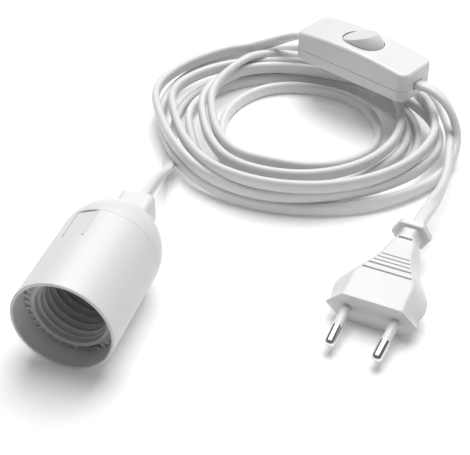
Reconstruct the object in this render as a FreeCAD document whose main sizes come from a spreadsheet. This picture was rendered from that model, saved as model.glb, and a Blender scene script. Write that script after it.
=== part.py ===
import FreeCAD, Part
import Sketcher
import math
import os

# Lamp holder with a flat lead, an inline rocker switch and a two pin plug, as they lie on a table.
# Lengths are in millimetres. The lamp holder lies on its side with its mouth towards -Y.
# The origin is on the table, under the middle of the lamp holder's bounding box.

os.makedirs("parts", exist_ok=True)
doc = FreeCAD.newDocument("lamp_holder_set")
Vec = FreeCAD.Vector
Turn = FreeCAD.Rotation
Place = FreeCAD.Placement

# Driving dimensions: cell alias, value, meaning
DIMENSIONS = [
    ("shell_room", 4.7, "ledge's inner edge to the outside of the skirt"),
    ("neck_length", 11.05, "neck block out of the dome's flat top"),
    ("skirt_length", 42.0, "mouth to the seam with the cap"),
    ("mouth_wall", 1.2, "skirt wall at the mouth"),
    ("skirt_wall", 1.6, "skirt wall behind the ledge"),
    ("ledge_depth", 8.4, "mouth to the ledge that carries the insert"),
    ("thread_major", 13.4, "root radius of the lamp thread"),
    ("thread_depth", 1.2, "root to crest of the lamp thread"),
    ("thread_pitch", 3.63, "seven turns to the inch"),
    ("insert_end", 30.0, "mouth to the back of the threaded insert"),
    ("dome_radius", 22.7, "outside of the cap's dome"),
    ("neck_width", 14.0, "neck block across"),
    ("neck_height", 13.2, "neck block up"),
    ("latch_width", 9.2, "window of a latch tongue"),
    ("latch_start", 27.2, "mouth to the window of a latch tongue"),
    ("latch_angle", 20.0, "latches turned from straight up"),
    ("latch_slot", 0.7, "gap in front of a latch tongue"),
    ("cord_width", 5.6, "flat lead, wide way"),
    ("cord_thickness", 3.4, "flat lead, thin way"),
    ("switch_length", 61.0, "inline switch"),
    ("switch_width", 22.0, "inline switch"),
    ("switch_side", 13.2, "inline switch at its ends"),
    ("switch_crown", 2.4, "rise of the cover's top at its middle"),
    ("switch_seam", 5.4, "bottom of the base to the seam"),
    ("switch_wall", 1.8, "walls of the switch"),
    ("rocker_radius", 10.5, "rocker's rim about its pin"),
    ("rocker_half", 6.3, "rocker's half width"),
    ("rocker_face", 6.2, "pin to the rocker's pressed face"),
    ("rocker_tilt", 21.0, "rocker's tilt each side of level"),
    ("rocker_gap", 0.3, "running gap round the rocker"),
    ("pin_sink", 3.75, "pin below the top of the crown"),
    ("plug_width", 35.3, "plug's face, point to point"),
    ("plug_height", 13.7, "plug's face"),
    ("plug_pin_radius", 2.0, "plug pin"),
    ("plug_pin_length", 19.0, "plug pin out of the face"),
    ("plug_pin_spacing", 18.6, "plug pins at the face"),
    ("plug_tip_spacing", 17.4, "plug pins at their tips"),
    ("sleeve_length", 10.0, "insulating sleeve out of the face"),
    ("coil_height", 21.0, "pile of turns of the lead"),
    ("fit_gap", 0.1, "clearance between pieces that are put together"),
]

sheet = doc.addObject("Spreadsheet::Sheet", "dims")
for row, (alias, value, meaning) in enumerate(DIMENSIONS, start=1):
    sheet.set("A%d" % row, alias)
    sheet.set("B%d" % row, str(value))
    sheet.set("C%d" % row, meaning)
    sheet.setAlias("B%d" % row, alias)
doc.recompute()


class Size:
    """A number with the expression that gives it from the sheet."""

    def __init__(self, value, text):
        self.value = float(value)
        self.text = text

    def __add__(self, other):
        other = size_of(other)
        return Size(self.value + other.value, "(%s + %s)" % (self.text, other.text))

    def __sub__(self, other):
        other = size_of(other)
        return Size(self.value - other.value, "(%s - %s)" % (self.text, other.text))

    def __rsub__(self, other):
        return size_of(other) - self

    def __mul__(self, factor):
        return Size(self.value * factor, "(%s * %r)" % (self.text, factor))

    def __neg__(self):
        return self * -1.0

    __radd__ = __add__
    __rmul__ = __mul__


def size_of(number):
    return number if isinstance(number, Size) else Size(number, repr(float(number)))


def dim(alias):
    return Size(float(sheet.get(alias)), "dims." + alias)


def number(size):
    return size.value if isinstance(size, Size) else float(size)


def bind(item, name, size):
    """Set a property, and let it follow the sheet where its size does."""
    if isinstance(size, Size):
        item.setExpression(name, size.text)
    else:
        setattr(item, name, size)


# Bodies, sketches and features


def new_body(name):
    return doc.addObject("PartDesign::Body", name)


def new_sketch(body, name, role, height=0.0, spin=0.0, lift=0.0):
    """A sketch on a plane of the body, moved along its normal, turned about it, or lifted in the plane."""
    sketch = body.newObject("Sketcher::SketchObject", name)
    plane = next(item for item in body.Origin.OriginFeatures if item.Role == role)
    sketch.AttachmentSupport = [(plane, "")]
    sketch.MapMode = "FlatFace"
    offset = Vec(0, number(lift), number(height))
    sketch.AttachmentOffset = Place(offset, Turn(Vec(0, 0, 1), spin))
    if isinstance(height, Size):
        sketch.setExpression("AttachmentOffset.Base.z", height.text)
    if isinstance(lift, Size):
        sketch.setExpression("AttachmentOffset.Base.y", lift.text)
    return sketch


def pin_down(sketch, index, end, corner):
    """Hold one point of a sketch at its two coordinates."""
    for kind, axis, place in (("DistanceX", -2, corner[0]), ("DistanceY", -1, corner[1])):
        if abs(number(place)) < 1e-9:
            sketch.addConstraint(Sketcher.Constraint("PointOnObject", index, end, axis))
            continue
        rule = sketch.addConstraint(Sketcher.Constraint(kind, -1, 1, index, end, number(place)))
        if isinstance(place, Size):
            sketch.setExpression("Constraints[%d]" % rule, place.text)


def outline(sketch, corners):
    """Close a loop through corners; (x, y, radius, side) starts an arc that bulges to that side of its chord."""
    edges = []
    for corner, following in zip(corners, corners[1:] + corners[:1]):
        start = Vec(number(corner[0]), number(corner[1]), 0)
        end = Vec(number(following[0]), number(following[1]), 0)
        if len(corner) == 2:
            index = sketch.addGeometry(Part.LineSegment(start, end))
        else:
            radius = number(corner[2])
            chord = end - start
            rise = radius - math.sqrt(radius**2 - chord.Length**2 / 4)
            across = Vec(-chord.y, chord.x, 0).normalize()
            middle = (start + end) * 0.5 + across * (rise * corner[3])
            index = sketch.addGeometry(Part.Arc(start, middle, end))
            rule = sketch.addConstraint(Sketcher.Constraint("Radius", index, radius))
            if isinstance(corner[2], Size):
                sketch.setExpression("Constraints[%d]" % rule, corner[2].text)
        first = 1 if sketch.getPoint(index, 1).distanceToPoint(start) < 1e-6 else 2
        edges.append((index, first))
    for (before, entry), (index, first), corner in zip(edges[-1:] + edges[:-1], edges, corners):
        sketch.addConstraint(Sketcher.Constraint("Coincident", before, 3 - entry, index, first))
        pin_down(sketch, index, first, corner)


def rectangle(sketch, left, right, low, high):
    outline(sketch, [(left, low), (right, low), (right, high), (left, high)])


def round_rectangle(sketch, across, up, radius):
    """A rectangle about the sketch's middle, from its half sizes and its corner radius."""
    x, y = across - radius, up - radius
    outline(sketch, [
        (-x, -up), (x, -up, radius, -1), (across, -y), (across, y, radius, -1),
        (x, up), (-x, up, radius, -1), (-across, y), (-across, -y, radius, -1),
    ])


def circle(sketch, radius, x=0.0, y=0.0):
    index = sketch.addGeometry(Part.Circle(Vec(number(x), number(y), 0), Vec(0, 0, 1), number(radius)))
    rule = sketch.addConstraint(Sketcher.Constraint("Radius", index, number(radius)))
    if isinstance(radius, Size):
        sketch.setExpression("Constraints[%d]" % rule, radius.text)
    pin_down(sketch, index, 3, (x, y))


def feature(body, kind, name, sketch):
    item = body.newObject("PartDesign::" + kind, name)
    item.Profile = sketch
    sketch.Visibility = False
    return item


def pad(body, name, sketch, length, both=False, back=False):
    item = feature(body, "Pad", name, sketch)
    bind(item, "Length", length)
    item.Midplane = both
    item.Reversed = back
    return item


def take_away(body, item):
    """Recompute a cut and see that it took material."""
    before = item.BaseFeature.Shape.Volume
    doc.recompute()
    if not item.Shape.Volume < before - 1e-3:
        raise RuntimeError("%s of %s takes nothing away" % (item.Name, body.Name))
    return item


def pocket(body, name, sketch, length, both=False, back=False):
    doc.recompute()
    item = feature(body, "Pocket", name, sketch)
    bind(item, "Length", length)
    item.Midplane = both
    item.Reversed = back
    return take_away(body, item)


def revolve(body, name, sketch, axis="V_Axis", cut=False):
    doc.recompute()
    item = feature(body, "Groove" if cut else "Revolution", name, sketch)
    item.ReferenceAxis = (sketch, [axis])
    item.Angle = 360.0
    return take_away(body, item) if cut else item


def soften(body, name, radius, wanted):
    """Round the edges of the body's last feature that are wanted."""
    doc.recompute()
    last = body.Tip
    names = ["Edge%d" % i for i, edge in enumerate(last.Shape.Edges, start=1) if wanted(edge)]
    item = body.newObject("PartDesign::Fillet", name)
    item.Base = (last, names)
    bind(item, "Radius", radius)
    return item


def at_height(edge, height, slack=1e-4):
    """Whether an edge lies at one height of its piece."""
    return edge.BoundBox.ZLength < slack and abs(edge.BoundBox.ZMin - number(height)) < slack


def upright(edge, least=0.5):
    """Whether an edge is a straight one along Z."""
    box = edge.BoundBox
    return box.ZLength > least and box.XLength < 1e-4 and box.YLength < 1e-4


# Primitives and booleans


def block(name, x, y, z):
    """A box from its low and high places along each axis."""
    item = doc.addObject("Part::Box", name)
    for side, (low, high) in zip(("Length", "Width", "Height"), (x, y, z)):
        bind(item, side, size_of(high) - low)
    item.Placement = Place(Vec(number(x[0]), number(y[0]), number(z[0])), Turn())
    return item


def rod(name, radius, length, at, along=Vec(0, 0, 1)):
    item = doc.addObject("Part::Cylinder", name)
    bind(item, "Radius", radius)
    bind(item, "Height", length)
    item.Placement = Place(Vec(*[number(value) for value in at]), Turn(Vec(0, 0, 1), along))
    return item


def cut(name, base, tool):
    item = doc.addObject("Part::Cut", name)
    item.Base = base
    item.Tool = tool
    return item


def fuse(name, pieces):
    item = doc.addObject("Part::MultiFuse", name)
    item.Shapes = pieces
    return item


def group(name, pieces):
    item = doc.addObject("Part::Compound", name)
    item.Links = pieces
    return item


finished = []


def finish(item, node, placement):
    """Name a finished sub-part and put it where it belongs."""
    item.Label = node
    item.Placement = placement
    finished.append(item)
    return item


# Lamp holder. Its pieces are drawn with Z from the mouth to the neck, and X across.

GAP = dim("fit_gap")
SKIRT = dim("skirt_length")
THREAD_MINOR = dim("thread_major") - dim("thread_depth")
LEDGE_RADIUS = dim("thread_major") + 1.1
RADIUS = LEDGE_RADIUS + dim("shell_room")
NECK_CORNER = 2.6
NECK_REACH = 0.45 + NECK_CORNER + math.hypot(
    dim("neck_width").value / 2 - NECK_CORNER, dim("neck_height").value / 2 - NECK_CORNER)


def dome_depth(radius):
    """Depth of the dome's outside at a radius from the axis, past the end of the skirt."""
    centre = RADIUS.value - dim("dome_radius").value
    return math.sqrt(dim("dome_radius").value ** 2 - (radius - centre) ** 2)


CAP_TOP = SKIRT + dome_depth(NECK_REACH)
LENGTH = CAP_TOP + dim("neck_length")
LEDGE = dim("ledge_depth")
LATCH_TURN = -number(dim("latch_angle"))
holder_place = Place(Vec(0, -LENGTH.value / 2, RADIUS.value), Turn(Vec(1, 0, 0), -90))
latch_place = holder_place * Place(Vec(), Turn(Vec(0, 0, 1), LATCH_TURN))
SKIRT_INSIDE = RADIUS - dim("skirt_wall")


def make_skirt():
    """Sleeve round the insert, with a toothed ledge inside and two windows for the cap's latches."""
    body = new_body("skirt")
    mouth = RADIUS - dim("mouth_wall")
    shell = new_sketch(body, "skirt_section", "XZ_Plane")
    outline(shell, [
        (mouth, 0.0), (RADIUS, 0.0), (RADIUS, SKIRT), (SKIRT_INSIDE, SKIRT),
        (SKIRT_INSIDE, LEDGE + 2.6), (LEDGE_RADIUS, LEDGE + 2.6), (LEDGE_RADIUS, LEDGE), (mouth, LEDGE + 1.2),
    ])
    revolve(body, "skirt_wall", shell)
    soften(body, "mouth_lip", 0.5, lambda edge: at_height(edge, 0))
    tooth = new_sketch(body, "tooth_plan", "XY_Plane", height=LEDGE + 0.2)
    rectangle(tooth, -0.35, 0.35, LEDGE_RADIUS + 0.4, mouth + 0.15)
    rib = pad(body, "ledge_tooth", tooth, 1.9)
    doc.recompute()
    ring = body.newObject("PartDesign::PolarPattern", "ledge_teeth")
    ring.Originals = [rib]
    ring.Axis = (tooth, ["N_Axis"])
    ring.Angle = 360.0
    ring.Occurrences = 36
    body.Tip = ring
    notch = new_sketch(body, "notch_plan", "XY_Plane")
    for side in (-1.0, 1.0):
        ends = [side * (LEDGE_RADIUS + 0.5), side * (mouth - 1.1)]
        ends.sort(key=number)
        rectangle(notch, -4.2, 4.2, ends[0], ends[1])
    pocket(body, "ledge_notches", notch, LEDGE + 3.0, back=True)
    window = new_sketch(body, "window_side", "XZ_Plane")
    half = dim("latch_width") * 0.5
    rectangle(window, -half, half, dim("latch_start"), SKIRT + 1.0)
    pocket(body, "latch_windows", window, RADIUS * 2.0 + 2.0, both=True)
    return finish(body, "holder_skirt", latch_place)


def make_cap():
    """Dome with the square neck, the spigot that enters the skirt and two latch tongues."""
    body = new_body("cap")
    seam = SKIRT + GAP
    spigot = SKIRT_INSIDE - GAP * 1.5
    inner = spigot - 1.55
    top = CAP_TOP
    shell = new_sketch(body, "cap_section", "XZ_Plane")
    outline(shell, [
        (inner, SKIRT - 6.0), (spigot, SKIRT - 6.0), (spigot, seam), (RADIUS, seam, dim("dome_radius"), -1),
        (NECK_REACH, top), (0.0, top), (0.0, top - 2.6), (7.0, top - 2.6, dim("dome_radius") - 1.8, 1),
        (inner, SKIRT + 1.5),
    ])
    revolve(body, "dome", shell)
    half = (dim("latch_width") - GAP * 4.0) * 0.5
    face = RADIUS - GAP * 1.5
    edge = math.sqrt(face.value**2 - half.value**2) - face.value
    front = dim("latch_start") + dim("latch_slot")
    tongue = new_sketch(body, "tongue_plan", "XY_Plane", height=front, spin=LATCH_TURN)
    root = RADIUS - 3.2
    rectangle(tongue, -half, half, root, face + edge)
    rectangle(tongue, -half, half, -(face + edge), -root)
    pad(body, "tongues", tongue, SKIRT - front + 1.3)
    foot = new_sketch(body, "foot_plan", "XY_Plane", height=dim("latch_start") - 2.8, spin=LATCH_TURN)
    inside, outside = RADIUS - 4.0, RADIUS - 2.3
    rectangle(foot, -half + 0.2, half - 0.2, inside, outside)
    rectangle(foot, -half + 0.2, half - 0.2, -outside, -inside)
    pad(body, "tongue_feet", foot, 4.0)
    neck = new_sketch(body, "neck_plan", "XY_Plane", height=top - 1.3)
    across, up = dim("neck_width") * 0.5, dim("neck_height") * 0.5
    round_rectangle(neck, across, up, NECK_CORNER)
    pad(body, "neck", neck, LENGTH - top + 1.3)
    soften(body, "neck_end", 0.8, lambda e: at_height(e, LENGTH))
    bore = new_sketch(body, "bore_plan", "XY_Plane", height=LENGTH + 1.0)
    slot_outline(bore, dim("cord_thickness") + GAP * 4.0, dim("cord_width") + GAP * 4.0)
    pocket(body, "cord_bore", bore, LENGTH - top + 3.95)
    grip = new_sketch(body, "grip_plan", "XY_Plane", height=top - 2.95)
    rectangle(grip, 1.5, 4.5, -2.7, 2.7)
    pocket(body, "grip_pocket", grip, LENGTH - top - 0.55, back=True)
    return finish(body, "holder_cap", holder_place)


def slot_outline(sketch, thin, wide, flat=False):
    """A slot with round ends, thin along X and wide along Y, or the other way where it lies flat."""
    half = thin * 0.5
    straight = (wide - thin) * 0.5
    tip = straight + half
    corners = [
        (half, -straight), (half, straight, half, -1), (0.0, tip, half, -1),
        (-half, straight), (-half, -straight, half, -1), (0.0, -tip, half, -1),
    ]
    if flat:
        corners = [(corner[1], -corner[0]) + corner[2:] for corner in corners]
    outline(sketch, corners)


def make_insert():
    """Threaded insert: a tube whose rounded groove runs round the inside at the lamp thread's pitch."""
    body = new_body("insert")
    major, minor = dim("thread_major"), THREAD_MINOR
    back = dim("insert_end")
    rim = LEDGE - 1.0
    outside = LEDGE_RADIUS - GAP * 1.5
    wall = new_sketch(body, "insert_section", "XZ_Plane")
    outline(wall, [
        (major, rim), (outside + 0.7, rim), (outside + 0.7, LEDGE - GAP), (outside, LEDGE - GAP),
        (outside, back), (minor, back), (minor, LEDGE + 2.6), (major, LEDGE + 1.4),
    ])
    revolve(body, "insert_wall", wall)
    soften(body, "insert_rim", 0.3, lambda edge: at_height(edge, rim))
    pitch = dim("thread_pitch")
    half = pitch * 0.42
    flank = half * 0.5
    middle = (major + minor) * 0.5
    start = LEDGE + 1.6
    groove = new_sketch(body, "groove_section", "XZ_Plane")
    outline(groove, [
        (minor - 0.4, start - half), (minor, start - half, 1.1, -1), (middle, start - flank, 1.25, -1),
        (middle, start + flank, 1.1, -1), (minor, start + half), (minor - 0.4, start + half),
    ])
    doc.recompute()
    thread = body.newObject("PartDesign::SubtractiveHelix", "thread")
    thread.Profile = groove
    thread.ReferenceAxis = (groove, ["V_Axis"])
    thread.Mode = "pitch-height-angle"
    bind(thread, "Pitch", pitch)
    bind(thread, "Height", back - LEDGE)
    take_away(body, thread)
    return finish(body, "thread_insert", holder_place)


RECESS = 9.6
RIVET_OUT = 7.0
RIVET_RADIUS = 0.9
RIVET_HEAD = 1.5
BASE_FRONT = dim("insert_end") + GAP
BASE_BACK = BASE_FRONT + 4.5
LEAF_LOW = BASE_FRONT + 1.1
LEAF_HIGH = BASE_FRONT + 1.6
LEAF_END = 8.45


def make_contact_base():
    """Insulating disc behind the insert; it carries the contacts in front and the terminals behind."""
    body = new_body("contact_disc")
    section = new_sketch(body, "disc_section", "XZ_Plane")
    rim = RADIUS - 3.8
    outline(section, [
        (0.0, BASE_FRONT + 2.3), (RECESS, BASE_FRONT + 2.3), (RECESS, BASE_FRONT), (rim, BASE_FRONT),
        (rim, BASE_BACK), (0.0, BASE_BACK),
    ])
    revolve(body, "disc", section)
    holes = new_sketch(body, "rivet_plan", "XY_Plane", height=BASE_BACK)
    for side in (-1.0, 1.0):
        circle(holes, RIVET_RADIUS + GAP * 0.5, x=side * RIVET_OUT)
    pocket(body, "rivet_holes", holes, 6.0)
    return finish(body, "contact_base", holder_place)


def strip(name, corners, width, hole, clear):
    """A bent strip from its side outline, with a hole round its rivet."""
    body = new_body(name)
    side = new_sketch(body, name + "_side", "XZ_Plane")
    outline(side, corners)
    pad(body, name + "_strip", side, width, both=True)
    plan = new_sketch(body, name + "_hole_plan", "XY_Plane", height=LEAF_HIGH + 1.0)
    circle(plan, RIVET_RADIUS + clear, x=hole)
    pocket(body, name + "_hole", plan, 3.0)
    return body


def make_holder_contacts():
    tip = BASE_FRONT - 2.5
    middle = (LEAF_LOW + LEAF_HIGH) * 0.5
    curl = (LEAF_HIGH - LEAF_LOW) * 0.5
    leaf = strip("leaf", [
        (-LEAF_END, LEAF_HIGH, curl, -1), (-LEAF_END - curl, middle, curl, -1), (-LEAF_END, LEAF_LOW),
        (-5.4, LEAF_LOW), (-1.5, tip), (2.2, tip), (2.2, tip + 0.5), (-1.2, tip + 0.5), (-5.1, LEAF_HIGH),
    ], 5.0, -RIVET_OUT, 0.4)
    finish(leaf, "centre_contact", holder_place)
    reach = THREAD_MINOR - 1.2
    rise = RIVET_OUT + RIVET_HEAD + GAP
    side = strip("side_leaf", [
        (5.4, LEAF_HIGH), (5.4, LEAF_LOW), (rise, LEAF_LOW), (rise, BASE_FRONT - 0.6), (reach, BASE_FRONT - 0.6),
        (reach, BASE_FRONT - 7.0), (reach + 0.5, BASE_FRONT - 7.0), (reach + 0.5, BASE_FRONT - 0.1),
        (rise + 0.5, BASE_FRONT - 0.1), (rise + 0.5, LEAF_HIGH),
    ], 5.0, RIVET_OUT, GAP * 0.5)
    finish(side, "side_contact", holder_place)
    rivets = []
    for side_name, side in (("left", -1.0), ("right", 1.0)):
        head = rod("rivet_head_" + side_name, RIVET_HEAD, 0.5, (side * RIVET_OUT, 0, LEAF_LOW - 0.55))
        shank = rod("rivet_shank_" + side_name, RIVET_RADIUS, 5.6, (side * RIVET_OUT, 0, LEAF_LOW - 0.3))
        rivets.append(fuse("rivet_" + side_name, [head, shank]))
    finish(group("rivets", rivets), "contact_rivets", holder_place)


def make_terminals():
    """Two brass blocks behind the disc, each with a clamping screw in its outer side."""
    low = BASE_BACK + GAP
    screws = []
    for node, side in (("terminal_live", -1.0), ("terminal_neutral", 1.0)):
        centre = side * RIVET_OUT
        brass = block(node + "_block", (centre - 3.0, centre + 3.0), (-3.0, 3.0), (low, low + 6.5))
        rivet_hole = rod(node + "_rivet_hole", RIVET_RADIUS + 0.05, 2.6, (centre, 0, low - 0.5))
        wire_hole = rod(node + "_wire_hole", 1.5, 4.0, (centre, 0, low + 3.0))
        axis = Vec(side, 0, 0)
        screw_hole = rod(node + "_screw_hole", 1.3, 3.0, (centre + side * 1.0, 0, low + 4.5), axis)
        holes = fuse(node + "_holes", [rivet_hole, wire_hole, screw_hole])
        finish(cut(node, brass, holes), node, holder_place)
        shank = rod(node + "_shank", 1.2, 2.2, (centre + side * 1.3, 0, low + 4.5), axis)
        head = rod(node + "_head", 2.1, 1.6, (centre + side * 3.1, 0, low + 4.5), axis)
        screw = fuse(node + "_screw", [shank, head])
        drive = block(node + "_drive", (centre - 7.0, centre + 7.0), (-0.3, 0.3), (low + 2.0, low + 7.0))
        clear = block(node + "_clear", (centre - 4.0, centre + 4.0), (-0.5, 0.5), (low + 1.0, low + 8.0))
        screws.append(cut(node + "_slotted", screw, cut(node + "_slot", drive, clear)))
    finish(group("screws", screws), "terminal_screws", holder_place)


def make_grip():
    """Toothed block that wedges the lead in the neck."""
    body = new_body("grip")
    side = new_sketch(body, "grip_side", "XZ_Plane")
    low = LENGTH - 13.5
    teeth = []
    for step in range(4):
        teeth += [(2.25, low + 2.2 * step), (1.75, low + (2.2 * step + 1.1))]
    outline(side, [(4.3, low)] + teeth + [(2.25, low + 8.8), (4.3, low + 8.8)])
    pad(body, "grip_block", side, 5.0, both=True)
    return finish(body, "cord_grip", holder_place)


# Flat and round leads: straight runs joined by tangent arcs


def tangent_path(name, route):
    """A wire through the route whose corners are arcs as large as their runs allow."""
    edges = []
    start = route[0]
    radii = []
    for before, corner, after in zip(route, route[1:], route[2:]):
        back = (before - corner).normalize()
        ahead = (after - corner).normalize()
        turn = math.pi - back.getAngle(ahead)
        reach = 0.45 * min((before - corner).Length, (after - corner).Length)
        radius = reach / math.tan(turn / 2)
        inward = (back + ahead).normalize()
        middle = corner + inward * (radius / math.cos(turn / 2) - radius)
        edges.append(Part.LineSegment(start, corner + back * reach).toShape())
        edges.append(Part.Arc(corner + back * reach, middle, corner + ahead * reach).toShape())
        start = corner + ahead * reach
        radii.append(round(radius, 1))
    edges.append(Part.LineSegment(start, route[-1]).toShape())
    print(name, "radii", radii)
    return Part.Wire(edges)


def flat_section(centre, along, wide_way, width, thickness):
    """Outline of the flat lead: two round cores side by side in one sheath."""
    out = (wide_way - along * wide_way.dot(along)).normalize()
    over = along.cross(out).normalize() * (thickness / 2)
    flat = out * ((width - thickness) / 2)
    tip = out * (width / 2)
    return Part.Wire([
        Part.Arc(centre + flat + over, centre + tip, centre + flat - over).toShape(),
        Part.LineSegment(centre + flat - over, centre - flat - over).toShape(),
        Part.Arc(centre - flat - over, centre - tip, centre - flat + over).toShape(),
        Part.LineSegment(centre - flat + over, centre + flat + over).toShape(),
    ])


def make_lead(node, route, wide_way):
    """A stretch of the flat lead along its route."""
    width, thickness = dim("cord_width").value, dim("cord_thickness").value
    path = tangent_path(node, route)
    along = (route[1] - route[0]).normalize()
    solid = path.makePipeShell([flat_section(route[0], along, wide_way, width, thickness)], True, False)
    area = (width - thickness) * thickness + math.pi * thickness**2 / 4
    if abs(solid.Volume / (area * path.Length) - 1) > 0.02:
        raise RuntimeError("%s has the wrong volume" % node)
    print(node, "length", round(path.Length, 1))
    item = doc.addObject("Part::Feature", node)
    item.Shape = solid
    return finish(item, node, Place())


def make_core(node, side):
    """One insulated core from its terminal to the end of the lead."""
    low = BASE_BACK.value + 4.0
    end = LENGTH.value - 7.2
    inside = CAP_TOP.value - 4.15
    room = inside - low
    route = [
        Vec(side * RIVET_OUT, 0, low), Vec(side * RIVET_OUT, 0, low + 0.385 * room),
        Vec(side * 2.6, side * 1.2, low + 0.69 * room), Vec(0, side * 1.2, inside), Vec(0, side * 1.2, end),
    ]
    path = tangent_path(node, route)
    section = Part.Wire(Part.Circle(route[0], Vec(0, 0, 1), 1.1).toShape())
    item = doc.addObject("Part::Feature", node)
    item.Shape = path.makePipeShell([section], True, False)
    return finish(item, node, holder_place)


# Inline switch. Its pieces are drawn with X along the lead and Z up from the bottom of the base.

SWITCH_X = 59.9
SWITCH_Y = 193.4 - LENGTH.value / 2
SWITCH_YAW = -25.2
switch_place = Place(Vec(SWITCH_X, SWITCH_Y, dim("coil_height").value), Turn(Vec(0, 0, 1), SWITCH_YAW))
SEAM = dim("switch_seam")
HALF_LONG = dim("switch_length") * 0.5
HALF_WIDE = dim("switch_width") * 0.5
WALL = dim("switch_wall")
ROOF = dim("switch_side") - 1.4
PIVOT = dim("switch_side") + dim("switch_crown") - dim("pin_sink")
CORD_LOW = SEAM + 0.3 - dim("cord_thickness") * 0.5 - 0.1
CORD_HIGH = SEAM + 0.3 + dim("cord_thickness") * 0.5 + 0.1
CORD_HALF = dim("cord_width") * 0.5 + 0.2
COVER_SCREW = 13.5
CLAMP_AT = 26.3
CLAMP_SCREW = 4.9
LIVE = 4.0
NEUTRAL = 7.5
LIVE_SCREW = 21.0
NEUTRAL_SCREW = 17.0


def cavity(body, name, height):
    plan = new_sketch(body, name + "_plan", "XY_Plane", height=height)
    rectangle(plan, -(HALF_LONG - WALL), HALF_LONG - WALL, -(HALF_WIDE - WALL), HALF_WIDE - WALL)
    return plan


def make_switch_base():
    """Lower shell of the switch, with saddles for the lead and holes for the screws."""
    body = new_body("base")
    plan = new_sketch(body, "base_plan", "XY_Plane")
    rectangle(plan, -HALF_LONG, HALF_LONG, -HALF_WIDE, HALF_WIDE)
    pad(body, "base_block", plan, SEAM)
    soften(body, "base_corners", 4.5, upright)
    soften(body, "base_foot", 1.2, lambda edge: at_height(edge, 0))
    soften(body, "base_seam", 0.3, lambda edge: at_height(edge, SEAM))
    pocket(body, "base_hollow", cavity(body, "base_hollow", SEAM), SEAM - WALL)
    saddles = new_sketch(body, "saddle_plan", "XY_Plane", height=WALL)
    for side in (-1.0, 1.0):
        rectangle(saddles, side * CLAMP_AT - 1.9, side * CLAMP_AT + 1.9, -6.4, 6.4)
    pad(body, "saddles", saddles, CORD_LOW - WALL)
    notch = new_sketch(body, "notch_end", "YZ_Plane")
    rectangle(notch, -CORD_HALF, CORD_HALF, CORD_LOW, SEAM + 1.0)
    pocket(body, "cord_notches", notch, HALF_LONG * 2.0 + 2.0, both=True)
    heads = new_sketch(body, "head_plan", "XY_Plane")
    holes = new_sketch(body, "hole_plan", "XY_Plane")
    for side in (-1.0, 1.0):
        circle(heads, 2.4, x=side * COVER_SCREW)
        circle(holes, 1.35, x=side * COVER_SCREW)
    pocket(body, "head_sinks", heads, 1.0, back=True)
    pocket(body, "cover_screw_holes", holes, WALL + 1.0, back=True)
    blind = new_sketch(body, "blind_plan", "XY_Plane", height=CORD_LOW + 1.0)
    for side in (-1.0, 1.0):
        for across in (-CLAMP_SCREW, CLAMP_SCREW):
            circle(blind, 1.05, x=side * CLAMP_AT, y=across)
        circle(blind, 1.05, x=side * LIVE_SCREW, y=side * LIVE)
        circle(blind, 1.05, x=side * NEUTRAL_SCREW, y=NEUTRAL)
    pocket(body, "blind_holes", blind, CORD_LOW + 1.0 - 0.6)
    return finish(body, "switch_base", switch_place)


ROCKER_HUB = 2.6


def rocker_outline(sketch, extra):
    """Half outline of the rocker about its pin, grown by extra: a hub at each side and a round rim."""
    half = dim("rocker_half") + extra
    reach = dim("rocker_radius") + extra
    rim = half + 0.13
    outline(sketch, [
        (-half, 0.0), (-half, ROCKER_HUB, rim, 1), (0.0, reach, rim, 1), (half, ROCKER_HUB), (half, 0.0),
    ])


def make_switch_cover():
    """Upper shell with a low crown, the rocker's opening, lugs for the pin and bosses for the screws."""
    body = new_body("cover")
    side = new_sketch(body, "cover_side", "XZ_Plane")
    crown = dim("switch_crown").value
    bow = (HALF_LONG.value**2 + crown**2) / (2 * crown)
    outline(side, [
        (-HALF_LONG, SEAM), (HALF_LONG, SEAM), (HALF_LONG, dim("switch_side"), bow, -1),
        (-HALF_LONG, dim("switch_side")),
    ])
    pad(body, "cover_block", side, HALF_WIDE * 2.0, both=True)
    soften(body, "cover_corners", 4.5, upright)
    top = dim("switch_side").value
    soften(body, "cover_edge", 1.8, lambda edge: edge.BoundBox.ZMin > top - 0.5)
    soften(body, "cover_seam", 0.3, lambda edge: at_height(edge, SEAM))
    pocket(body, "cover_hollow", cavity(body, "cover_hollow", SEAM), ROOF - SEAM, back=True)
    lugs = new_sketch(body, "lug_plan", "XY_Plane", height=PIVOT - 2.0)
    inner = dim("rocker_half") + dim("rocker_gap") + 0.15
    for low, high in ((-(HALF_WIDE - WALL + 0.1), -inner), (inner, HALF_WIDE - WALL + 0.1)):
        rectangle(lugs, -2.4, 2.4, low, high)
    pad(body, "pin_lugs", lugs, 2.4)
    bosses = new_sketch(body, "boss_plan", "XY_Plane", height=WALL + 1.2)
    for way in (-1.0, 1.0):
        circle(bosses, 2.5, x=way * COVER_SCREW)
    pad(body, "screw_bosses", bosses, ROOF - WALL - 1.0)
    opening = new_sketch(body, "opening_section", "YZ_Plane", lift=PIVOT)
    rocker_outline(opening, dim("rocker_gap"))
    revolve(body, "rocker_opening", opening, "H_Axis", cut=True)
    pin_hole = new_sketch(body, "pin_hole_side", "XZ_Plane")
    circle(pin_hole, 1.03, y=PIVOT)
    pocket(body, "pin_hole", pin_hole, HALF_WIDE * 2.0 - WALL * 2.0 - 0.2, both=True)
    screw_holes = new_sketch(body, "screw_plan", "XY_Plane", height=WALL)
    for way in (-1.0, 1.0):
        circle(screw_holes, 1.25, x=way * COVER_SCREW)
    pocket(body, "screw_holes", screw_holes, 8.0, back=True)
    notch = new_sketch(body, "cover_notch_end", "YZ_Plane")
    rectangle(notch, -CORD_HALF, CORD_HALF, SEAM - 1.0, CORD_HIGH)
    pocket(body, "cover_notches", notch, HALF_LONG * 2.0 + 2.0, both=True)
    return finish(body, "switch_cover", switch_place)


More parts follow.
